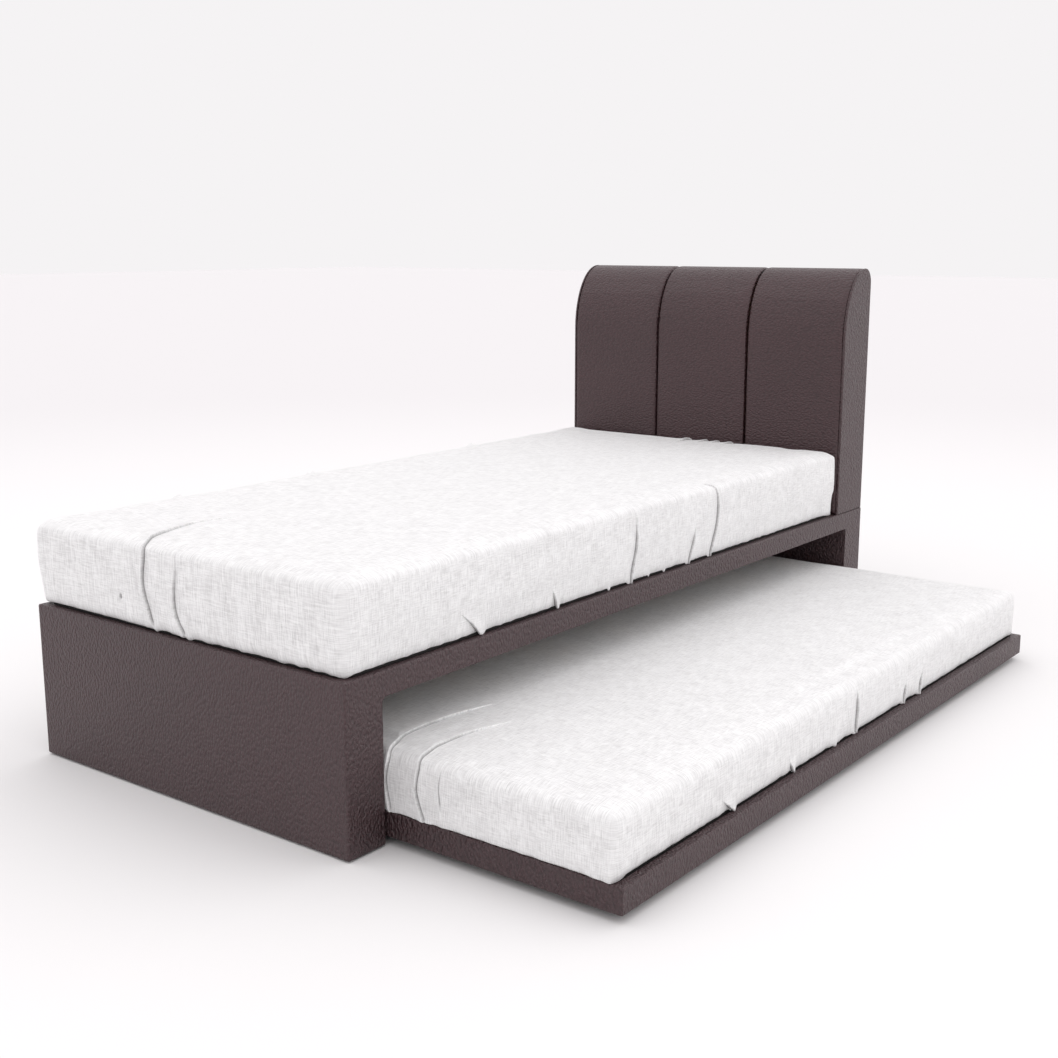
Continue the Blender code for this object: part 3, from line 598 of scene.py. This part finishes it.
def dress_cover(piece, low, high, folds, tufts, limits, hem_gap, seed):
    """Lays the slack, the folds, the hem and its tufts on a swollen cover, within its limits."""
    form = bmesh.new()
    form.from_mesh(piece.data)
    surface = BVHTree.FromBMesh(form)
    fold_lines = [(fold_line(surface, [low + Vector(p) for p in path]), shape) for path, *shape in folds]
    spots = [surface.find_nearest(low + Vector(tuft[0]))[0] for tuft in tufts]
    make_finer(form, np.array([p[:] for line, _ in fold_lines for p in line] + [p[:] for p in spots]))
    for face in form.faces:
        face.smooth = True
    form.normal_update()
    form.to_mesh(piece.data)
    points = np.array([v.co[:] for v in form.verts])
    normals = np.array([v.normal[:] for v in form.verts])
    form.free()

    slack = np.array([
        noise.noise(Vector(p) / 0.17 + Vector((seed, 0.0, 0.0)))
        + 0.5 * noise.noise(Vector((p[0] / 0.045, p[1] / 0.09, p[2] / 0.07 + seed)))
        for p in points
    ])
    above_base = smooth_step((points[:, 2] - low.z) / 0.02)
    hem = np.exp(-((points[:, 2] - low.z - HEM_HEIGHT) / HEM_HEIGHT) ** 2)
    gathers = np.array([noise.noise(Vector((p[0] / HEM_GATHER, p[1] / HEM_GATHER, seed))) for p in points])
    moved = points + (SLACK * slack * above_base + HEM_RIPPLE * hem * gathers)[:, None] * normals
    # Painted shade: how far each point lies in a fold's slot, stored on the mesh to darken the linen there.
    slot_shade_mask = np.zeros(len(points))
    for line, shape in fold_lines:
        move, shade = fold_cover(points, normals, line, *shape)
        moved += move
        slot_shade_mask = np.maximum(slot_shade_mask, shade)
    draw_down_hem(moved, points, low, high)
    moved = np.clip(moved, np.array(limits[0]), np.array(limits[1]))
    gap = hem_gap(points[:, 0] - low.x, points[:, 1] - low.y, gathers)
    moved[:, 2] = np.maximum(moved[:, 2], limits[0][2] + gap)
    for spot, (_, reach, out, drop) in zip(spots, tufts):
        moved += tuft_cover(points, normals, spot, reach, out, drop)
    moved[:, 2] = np.maximum(moved[:, 2], limits[0][2] + HEM_CLEARANCE)
    write_points(piece.data, moved)

    share = np.clip(1.0 - 1.3 * np.abs(normals), 0.0, 1.0) * np.array((1.0, 1.0, LEVEL_THREADS))
    layer = piece.data.attributes.new("thread_share", "FLOAT_VECTOR", "POINT")
    layer.data.foreach_set("vector", share.ravel())
    slot_shade_layer = piece.data.attributes.new("painted_slot_shade", "FLOAT", "POINT")
    slot_shade_layer.data.foreach_set("value", slot_shade_mask)


def make_mattress(name, node, body, form, low, high, dressing):
    """Builds one covered mattress: its form, its swelling, its dressing, and what it stands for."""
    piece = mattress_form(name, low, high, *form)
    rest_height = low.z + MATTRESS_HELD
    swell(
        piece, MATTRESS_VOXEL, MATTRESS_PRESSURE, lambda p: p[2] < rest_height, MATTRESS_SWELL, MATTRESS_SINK
    )
    subdivide_once(piece)
    dress_cover(piece, low, high, *dressing)
    piece.data.materials.clear()
    piece.data.materials.append(ticking)
    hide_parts(node)
    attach(piece, body)


ticking = linen_ticking("white_linen_ticking")

# Each fold: its points as distances from the wall side, the foot and the base of the mattress, then
# how high its lip stands, how wide it spreads, how far it laps, and the shares over which it fades.
# The long folds at the foot run from the hem up and over the rim, and most creases from the top down.
# Each tuft: its place, how far it reaches, and how far it is pulled out and down.

upper_low, upper_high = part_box("upper_mattress")
# The upper mattress stands on a thin black pad, a dark sheet put in as painted shade in the gap under its
# hem.
UPPER_SHADE_PAD = 0.0060         # the thin black base pad that the mattress stands on
UPPER_WALL_BULGE = 0.017        # the cover swells this far past the base on the wall side
upper_form_low = upper_low + Vector((-UPPER_WALL_BULGE + 0.002, -0.001, UPPER_SHADE_PAD))
upper_form_high = upper_high - Vector((-0.001, 0.001, 0.003))
UPPER_TOP = 0.178
UPPER_SIDE = 0.94
UPPER_FOLDS = [
    ([(0.402, 0.0, 0.004), (0.380, 0.0, 0.090), (0.385, 0.0, 0.166), (0.345, 0.09, UPPER_TOP),
      (0.318, 0.215, UPPER_TOP), (0.36, 0.35, UPPER_TOP)],
     0.0052, 0.015, 0.0022, 0.02, 0.72),
    ([(0.500, 0.0, 0.004), (0.476, 0.0, 0.055), (0.484, 0.0, 0.150), (0.47, 0.07, UPPER_TOP)],
     0.0050, 0.018, 0.0020, 0.02, 0.80),
    ([(0.302, 0.0, 0.046), (0.300, 0.0, 0.064)], 0.0042, 0.004, 0.0010, 0.3, 0.4),
    ([(0.635, 0.0, 0.13), (0.64, 0.0, 0.04)], 0.0022, 0.022, 0.0005, 0.5, 0.5),
    ([(UPPER_SIDE, 0.325, 0.056), (UPPER_SIDE, 0.400, 0.004)], 0.0062, 0.012, 0.0022, 0.9, 0.02),
    ([(UPPER_SIDE, 0.632, 0.046), (UPPER_SIDE, 0.660, 0.004)], 0.0055, 0.009, 0.0022, 0.8, 0.02),
    ([(UPPER_SIDE, 0.957, 0.165), (UPPER_SIDE, 0.958, 0.085), (UPPER_SIDE, 0.944, 0.004)],
     0.0052, 0.007, 0.0020, 0.45, 0.02),
    ([(UPPER_SIDE, 1.222, 0.100), (UPPER_SIDE, 1.218, 0.055), (UPPER_SIDE, 1.202, 0.004)],
     0.0045, 0.007, 0.0020, 0.60, 0.02),
    ([(0.88, 1.28, UPPER_TOP), (UPPER_SIDE, 1.322, 0.158), (UPPER_SIDE, 1.326, 0.085),
      (UPPER_SIDE, 1.306, 0.004)],
     0.0050, 0.007, 0.0020, 0.60, 0.02),
    ([(0.020, 0.405, UPPER_TOP), (-0.008, 0.389, 0.150)], 0.0050, 0.008, 0.0020, 0.3, 0.4),
    ([(0.020, 0.835, UPPER_TOP), (-0.008, 0.822, 0.150)], 0.0060, 0.008, 0.0020, 0.3, 0.4),
    ([(0.020, 1.490, UPPER_TOP), (-0.008, 1.477, 0.150)], 0.0050, 0.008, 0.0020, 0.3, 0.4),
    ([(0.49, 1.86, UPPER_TOP), (0.47, 1.96, UPPER_TOP), (0.475, 1.992, 0.165)],
     0.0060, 0.013, 0.0015, 0.8, 0.2),
    ([(0.54, 1.89, UPPER_TOP), (0.53, 1.97, UPPER_TOP), (0.53, 1.992, 0.165)],
     0.0045, 0.010, 0.0015, 0.8, 0.2),
    ([(0.58, 1.90, UPPER_TOP), (0.57, 1.97, UPPER_TOP), (0.57, 1.992, 0.165)],
     0.0045, 0.010, 0.0015, 0.8, 0.2),
    ([(0.62, 1.89, UPPER_TOP), (0.615, 1.97, UPPER_TOP), (0.62, 1.992, 0.165)],
     0.0045, 0.011, 0.0015, 0.8, 0.2),
]
UPPER_TUFTS = [
    ((0.404, 0.0, 0.004), 0.008, 0.002, 0.004), ((0.508, 0.0, 0.004), 0.008, 0.002, 0.004),
    ((UPPER_SIDE, 0.403, 0.004), 0.009, 0.005, 0.008), ((UPPER_SIDE, 0.662, 0.004), 0.008, 0.004, 0.007),
    ((UPPER_SIDE, 0.858, 0.004), 0.007, 0.004, 0.006), ((UPPER_SIDE, 0.942, 0.004), 0.008, 0.004, 0.007),
    ((UPPER_SIDE, 1.025, 0.004), 0.006, 0.003, 0.005), ((UPPER_SIDE, 1.092, 0.004), 0.006, 0.003, 0.005),
    ((UPPER_SIDE, 1.200, 0.004), 0.008, 0.004, 0.007), ((UPPER_SIDE, 1.304, 0.004), 0.008, 0.004, 0.007),
    ((0.0, 0.389, UPPER_TOP), 0.014, 0.006, -0.003), ((0.0, 0.822, UPPER_TOP), 0.014, 0.006, -0.003),
    ((0.0, 1.477, UPPER_TOP), 0.014, 0.006, -0.003),
]
# The box that the cover stays inside, but for its tufts.
UPPER_LIMITS = (
    (upper_low.x - UPPER_WALL_BULGE, upper_low.y - 0.014, upper_low.z),
    (upper_high.x + 0.010, upper_high.y - 0.0005, upper_high.z + 0.006),
)
# How far the sides draw in at the base, the radii in plan, and those of the top and base rims.
UPPER_FORM = ((0.009, 0.007, 0.004, 0.002), (0.020, 0.030, 0.008, 0.006), 0.018, 0.004)


def upper_hem_gap(across, along, gathers):
    """The dark gap left below the upper cover's hem: narrower at the open side, wavy half way along it."""
    even = 0.0050 - 0.0040 * smooth_step(across / 0.85)
    half_way = smooth_step((along - 0.50) / 0.25) * smooth_step((1.50 - along) / 0.30)
    wavy = half_way * smooth_step((across - 0.85) / 0.05)
    return even * (1.0 + 0.5 * gathers) + 0.0075 * wavy * np.maximum(gathers, 0.0)


make_mattress(
    "upper_mattress_cover", "upper_mattress", "upper_bed", UPPER_FORM, upper_form_low, upper_form_high,
    (UPPER_FOLDS, UPPER_TUFTS, UPPER_LIMITS, upper_hem_gap, 3.0),
)

lower_low, lower_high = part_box("trundle_mattress")
# The trundle mattress stands on a thin black pad, a dark sheet put in as painted shade in the gap under its
# hem.
LOWER_SHADE_PAD = 0.0045
lower_form_low = lower_low + Vector((0.002, -0.002, LOWER_SHADE_PAD))
lower_form_high = lower_high - Vector((0.000, 0.001, 0.003))
LOWER_TOP = 0.120
LOWER_SIDE = 0.86
LOWER_FOLDS = [
    ([(0.340, 0.0, 0.002), (0.325, 0.0, 0.055), (0.333, 0.0, 0.108), (0.308, 0.09, LOWER_TOP),
      (0.312, 0.22, LOWER_TOP), (0.34, 0.36, LOWER_TOP)],
     0.0060, 0.015, 0.0022, 0.02, 0.50),
    ([(0.424, 0.0, 0.002), (0.402, 0.0, 0.050), (0.408, 0.0, 0.100), (0.400, 0.06, LOWER_TOP),
      (0.405, 0.17, LOWER_TOP), (0.44, 0.30, LOWER_TOP)],
     0.0055, 0.014, 0.0020, 0.02, 0.60),
    ([(0.468, 0.0, 0.006), (0.458, 0.0, 0.070), (0.468, 0.05, LOWER_TOP)],
     0.0022, 0.016, 0.0006, 0.30, 0.70),
    ([(LOWER_SIDE, 0.355, 0.032), (LOWER_SIDE, 0.402, 0.002)], 0.0052, 0.010, 0.0020, 0.8, 0.02),
    ([(LOWER_SIDE, 0.628, 0.028), (LOWER_SIDE, 0.650, 0.002)], 0.0048, 0.009, 0.0020, 0.8, 0.02),
    ([(LOWER_SIDE, 0.940, 0.105), (LOWER_SIDE, 0.943, 0.055), (LOWER_SIDE, 0.938, 0.002)],
     0.0050, 0.007, 0.0018, 0.40, 0.02),
    ([(LOWER_SIDE, 1.210, 0.050), (LOWER_SIDE, 1.198, 0.002)], 0.0042, 0.007, 0.0018, 0.60, 0.02),
    ([(LOWER_SIDE, 1.304, 0.052), (LOWER_SIDE, 1.287, 0.002)], 0.0042, 0.007, 0.0018, 0.60, 0.02),
]
LOWER_TUFTS = [
    ((0.339, 0.0, 0.002), 0.008, 0.002, 0.003), ((0.430, 0.0, 0.002), 0.008, 0.002, 0.003),
    ((LOWER_SIDE, 0.406, 0.002), 0.009, 0.004, 0.005), ((LOWER_SIDE, 0.652, 0.002), 0.008, 0.003, 0.004),
    ((LOWER_SIDE, 0.840, 0.002), 0.007, 0.003, 0.004), ((LOWER_SIDE, 0.936, 0.002), 0.007, 0.003, 0.004),
    ((LOWER_SIDE, 1.197, 0.002), 0.007, 0.003, 0.004), ((LOWER_SIDE, 1.286, 0.002), 0.007, 0.003, 0.004),
]
LOWER_LIMITS = (
    (lower_low.x - 0.001, lower_low.y - 0.007, lower_low.z),
    (lower_high.x + 0.006, lower_high.y + 0.002, lower_high.z + 0.004),
)
LOWER_FORM = ((0.003, 0.001, -0.003, 0.003), (0.020, 0.010, 0.012, 0.012), 0.019, 0.002)


def lower_hem_gap(across, along, gathers):
    """The lower cover reaches the platform along its foot, and leaves a narrow gap elsewhere."""
    return (0.0026 - 0.0021 * smooth_step(1.0 - along / 0.05)) * (1.0 + 0.7 * gathers)


make_mattress(
    "trundle_mattress_cover", "trundle_mattress", "trundle", LOWER_FORM, lower_form_low, lower_form_high,
    (LOWER_FOLDS, LOWER_TUFTS, LOWER_LIMITS, lower_hem_gap, 11.0),
)


# ---- deck boards and back board -----------------------------------------------------------------
# Thin boards under black spun-bonded dust cloth: the upper deck, the trundle's deck and the back of
# the headboard. The cloth is pressed from short fibres, so it is matt, with a faint felted grain.

DUST_CLOTH_DARK = "#0F0E0E"
DUST_CLOTH_LIGHT = "#1F1D1D"
CLOTH_FIBRE = 0.0012
POINT_BOND = 0.0035             # grid of pressed dots; the real one is about 1 mm, too fine to show

dust_cloth, cloth_tree, cloth_shader = new_material(
    "black_spun_bonded_dust_cloth", Roughness=0.92, Specular_IOR_Level=0.25
)
cloth_place = add_node(cloth_tree, "ShaderNodeTexCoord").outputs["Object"]
cloth_fibre = add_node(
    cloth_tree, "ShaderNodeTexNoise", {"Scale": 1.0 / CLOTH_FIBRE, "Detail": 4.0, "Distortion": 1.5},
    {"Vector": cloth_place},
)
cloth_bonds = add_node(
    cloth_tree, "ShaderNodeTexVoronoi", {"Scale": 1.0 / POINT_BOND, "Randomness": 0.15},
    {"Vector": cloth_place},
)
cloth_height = add_node(
    cloth_tree, "ShaderNodeMath", {1: 0.5},
    {0: cloth_fibre.outputs["Fac"], 2: cloth_bonds.outputs["Distance"]}, operation="MULTIPLY_ADD",
)
cloth_mix = add_node(
    cloth_tree, "ShaderNodeMix", {6: linear(DUST_CLOTH_DARK), 7: linear(DUST_CLOTH_LIGHT)},
    {0: cloth_height.outputs[0]}, data_type="RGBA",
)
cloth_bump = add_node(
    cloth_tree, "ShaderNodeBump", {"Strength": 0.5, "Distance": 0.0008}, {"Height": cloth_height.outputs[0]}
)
cloth_tree.links.new(cloth_mix.outputs[2], cloth_shader.inputs["Base Color"])
cloth_tree.links.new(cloth_bump.outputs[0], cloth_shader.inputs["Normal"])
finish_nodes(dust_cloth, [
    "deck_board_foot", "deck_board_head", "trundle_deck_foot", "trundle_deck_head", "headboard_back_board",
])


# ---- mattress base pads -------------------------------------------------------------------------
# Each mattress stands on a thin sewn-in base faced with the same black bonded cloth, set in from the
# cover's edge: painted shade, a dark sheet that reads as a dark line between the linen and the leather.

BASE_PAD_CORNER = 0.030
BASE_PAD_RIM = 0.001
BASE_PAD_CLEARANCE = 0.0002     # over the board that it lies on


def shade_pad(name, node, body, low, high):
    """A thin cloth-faced pad, round-cornered in plan, between a mattress and what it lies on."""
    block = bmesh.new()
    place = Matrix.Translation((low + high) / 2.0) @ Matrix.Diagonal((*(high - low), 1.0))
    bmesh.ops.create_cube(block, size=1.0, matrix=place)
    upright = [e for e in block.edges if abs(e.verts[0].co.z - e.verts[1].co.z) > BASE_PAD_RIM]
    bmesh.ops.bevel(
        block, geom=upright, offset=BASE_PAD_CORNER, segments=6, profile=0.5, affect="EDGES", material=-1
    )
    rims = [e for e in block.edges if abs(e.verts[0].co.z - e.verts[1].co.z) < BASE_PAD_RIM]
    bmesh.ops.bevel(
        block, geom=rims, offset=BASE_PAD_RIM, segments=2, profile=0.5, affect="EDGES", material=-1
    )
    pad_mesh = bpy.data.meshes.new(name)
    block.to_mesh(pad_mesh)
    block.free()
    pad_mesh.materials.append(dust_cloth)
    piece = bpy.data.objects.new(name, pad_mesh)
    bpy.context.scene.collection.objects.link(piece)
    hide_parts(node)
    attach(piece, body)


shade_pad(
    "upper_mattress_shade_pad", "upper_mattress", "upper_bed",
    upper_low + Vector((0.012, 0.011, BASE_PAD_CLEARANCE)),
    Vector((upper_high.x - 0.010, upper_high.y - 0.006, upper_low.z + UPPER_SHADE_PAD)),
)
shade_pad(
    "trundle_mattress_shade_pad", "trundle_mattress", "trundle",
    lower_low + Vector((0.006, 0.010, BASE_PAD_CLEARANCE)),
    Vector((lower_high.x - 0.007, lower_high.y - 0.006, lower_low.z + LOWER_SHADE_PAD)),
)


# ---- pine battens -------------------------------------------------------------------------------
# Seven planed pine battens carry the upper deck, dropped on the steel ledgers. Pale sapwood between
# darker late-wood lines that run with the length of each batten.

PINE_PALE = "#E2C593"
PINE_LINE = "#B98A52"
PINE_RING = 0.006               # late-wood line spacing


def timber(name, pale, dark, repeats, roughness):
    """Planed wood: drawn-out growth lines and fine pores. repeats: grain repeats per metre by axis."""
    material, tree, shader = new_material(name, Roughness=roughness)
    place = add_node(tree, "ShaderNodeTexCoord").outputs["Object"]
    drawn = add_node(tree, "ShaderNodeVectorMath", {1: repeats}, {0: place}, operation="MULTIPLY")
    rings = add_node(
        tree, "ShaderNodeTexNoise", {"Scale": 1.0, "Detail": 4.0, "Roughness": 0.55, "Distortion": 0.6},
        {"Vector": drawn.outputs[0]},
    )
    pores = add_node(
        tree, "ShaderNodeTexNoise", {"Scale": 7.0, "Detail": 2.0}, {"Vector": drawn.outputs[0]}
    )
    line = add_node(
        tree, "ShaderNodeMapRange", {"From Min": 0.42, "From Max": 0.60}, {"Value": rings.outputs["Fac"]}
    )
    tone = add_node(
        tree, "ShaderNodeMath", {1: 0.3}, {0: pores.outputs["Fac"], 2: line.outputs[0]},
        operation="MULTIPLY_ADD",
    )
    mix = add_node(
        tree, "ShaderNodeMix", {6: linear(pale), 7: linear(dark)}, {0: tone.outputs[0]}, data_type="RGBA"
    )
    bump = add_node(
        tree, "ShaderNodeBump", {"Strength": 0.3, "Distance": 0.0004}, {"Height": tone.outputs[0]}
    )
    tree.links.new(mix.outputs[2], shader.inputs["Base Color"])
    tree.links.new(bump.outputs[0], shader.inputs["Normal"])
    return material


pine = timber("planed_pine", PINE_PALE, PINE_LINE, (4.0, 1.0 / PINE_RING, 1.0 / PINE_RING), 0.62)
finish_nodes(pine, [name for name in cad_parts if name.startswith("batten_")])


# ---- plywood ribs and bearers -------------------------------------------------------------------
# Poplar plywood: the headboard's four upright ribs, and three bearers across under the trundle deck.
# The ribs show their veneers on every narrow edge, and the bearers show theirs along both sides.

PLY_PALE = "#D9BE93"
PLY_GRAIN = "#C29F6E"
PLY_GLUE = "#8E6A42"
VENEER = 0.0030                 # one light and one dark veneer


def plywood(name, layers_along, repeats):
    """Poplar ply: open grain on its faces, and light and dark veneers stacked along one axis."""
    material = timber(name, PLY_PALE, PLY_GRAIN, repeats, 0.70)
    tree = material.node_tree
    shader = tree.nodes["Principled BSDF"]
    face = shader.inputs["Base Color"].links[0].from_socket
    place = add_node(tree, "ShaderNodeTexCoord").outputs["Object"]
    parts = add_node(tree, "ShaderNodeSeparateXYZ", links={0: place})
    count = add_node(
        tree, "ShaderNodeMath", {1: math.tau / VENEER}, {0: parts.outputs[layers_along]},
        operation="MULTIPLY",
    )
    wave = add_node(tree, "ShaderNodeMath", links={0: count.outputs[0]}, operation="SINE")
    glue = add_node(
        tree, "ShaderNodeMapRange", {"From Min": 0.3, "From Max": 0.9, "To Max": 0.75},
        {"Value": wave.outputs[0]},
    )
    mix = add_node(
        tree, "ShaderNodeMix", {7: linear(PLY_GLUE)}, {0: glue.outputs[0], 6: face}, data_type="RGBA"
    )
    tree.links.new(mix.outputs[2], shader.inputs["Base Color"])
    return material


rib_plywood = plywood("poplar_plywood_upright", "X", (90.0, 60.0, 5.0))
finish_nodes(rib_plywood, [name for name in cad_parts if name.startswith("headboard_rib_")])
bearer_plywood = plywood("poplar_plywood_flat", "Z", (5.0, 60.0, 90.0))
finish_nodes(bearer_plywood, ["trundle_bearer_foot", "trundle_bearer_middle", "trundle_bearer_head"])


# ---- zinc-plated steel --------------------------------------------------------------------------
# Pressed and rolled steel under bright zinc: the ledger angles, corner brackets, headboard angles,
# caster channels and riveted axles. Zinc shows a soft mottle and small differences in polish.

ZINC_BRIGHT = "#C9CDD0"
ZINC_DULL = "#A3A9AE"
SPANGLE = 0.010

zinc, zinc_tree, zinc_shader = new_material("bright_zinc_plated_steel", Metallic=1.0)
zinc_place = add_node(zinc_tree, "ShaderNodeTexCoord").outputs["Object"]
zinc_mottle = add_node(
    zinc_tree, "ShaderNodeTexNoise", {"Scale": 1.0 / SPANGLE, "Detail": 5.0, "Roughness": 0.65},
    {"Vector": zinc_place},
)
zinc_mix = add_node(
    zinc_tree, "ShaderNodeMix", {6: linear(ZINC_DULL), 7: linear(ZINC_BRIGHT)},
    {0: zinc_mottle.outputs["Fac"]}, data_type="RGBA",
)
zinc_polish = add_node(
    zinc_tree, "ShaderNodeMapRange", {"To Min": 0.24, "To Max": 0.46}, {"Value": zinc_mottle.outputs["Fac"]}
)
zinc_tree.links.new(zinc_mix.outputs[2], zinc_shader.inputs["Base Color"])
zinc_tree.links.new(zinc_polish.outputs[0], zinc_shader.inputs["Roughness"])
STEEL_PIECES = ("ledger_", "corner_bracket_", "headboard_bracket_", "caster_bracket_", "caster_axle_")
finish_nodes(zinc, [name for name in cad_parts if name.startswith(STEEL_PIECES)])


# ---- glides and wheels --------------------------------------------------------------------------
# Black nylon nail-on glides under the base, and solid grey rubber wheels under the trundle. Both are
# moulded: the nylon is satin, and the rubber is matt with pale dust worked into its grain.

NYLON_DARK = "#141414"
NYLON_LIGHT = "#242424"
RUBBER_GREY = "#3D3D3E"
RUBBER_DUST = "#5C5B5A"


def moulded(name, dark, light, grain, roughness, depth):
    """A moulded plastic or rubber: an even colour broken by a fine moulding grain."""
    material, tree, shader = new_material(name, Roughness=roughness)
    place = add_node(tree, "ShaderNodeTexCoord").outputs["Object"]
    speckle = add_node(
        tree, "ShaderNodeTexNoise", {"Scale": 1.0 / grain, "Detail": 3.0, "Roughness": 0.6},
        {"Vector": place},
    )
    mix = add_node(
        tree, "ShaderNodeMix", {6: linear(dark), 7: linear(light)}, {0: speckle.outputs["Fac"]},
        data_type="RGBA",
    )
    bump = add_node(
        tree, "ShaderNodeBump", {"Strength": 0.4, "Distance": depth}, {"Height": speckle.outputs["Fac"]}
    )
    tree.links.new(mix.outputs[2], shader.inputs["Base Color"])
    tree.links.new(bump.outputs[0], shader.inputs["Normal"])
    return material


nylon = moulded("black_moulded_nylon", NYLON_DARK, NYLON_LIGHT, grain=0.0015, roughness=0.42, depth=0.0002)
finish_nodes(nylon, [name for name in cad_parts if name.startswith("floor_glide_")])
rubber = moulded("grey_solid_rubber", RUBBER_GREY, RUBBER_DUST, grain=0.0012, roughness=0.75, depth=0.0004)
finish_nodes(rubber, [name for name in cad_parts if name.startswith("caster_wheel_")])
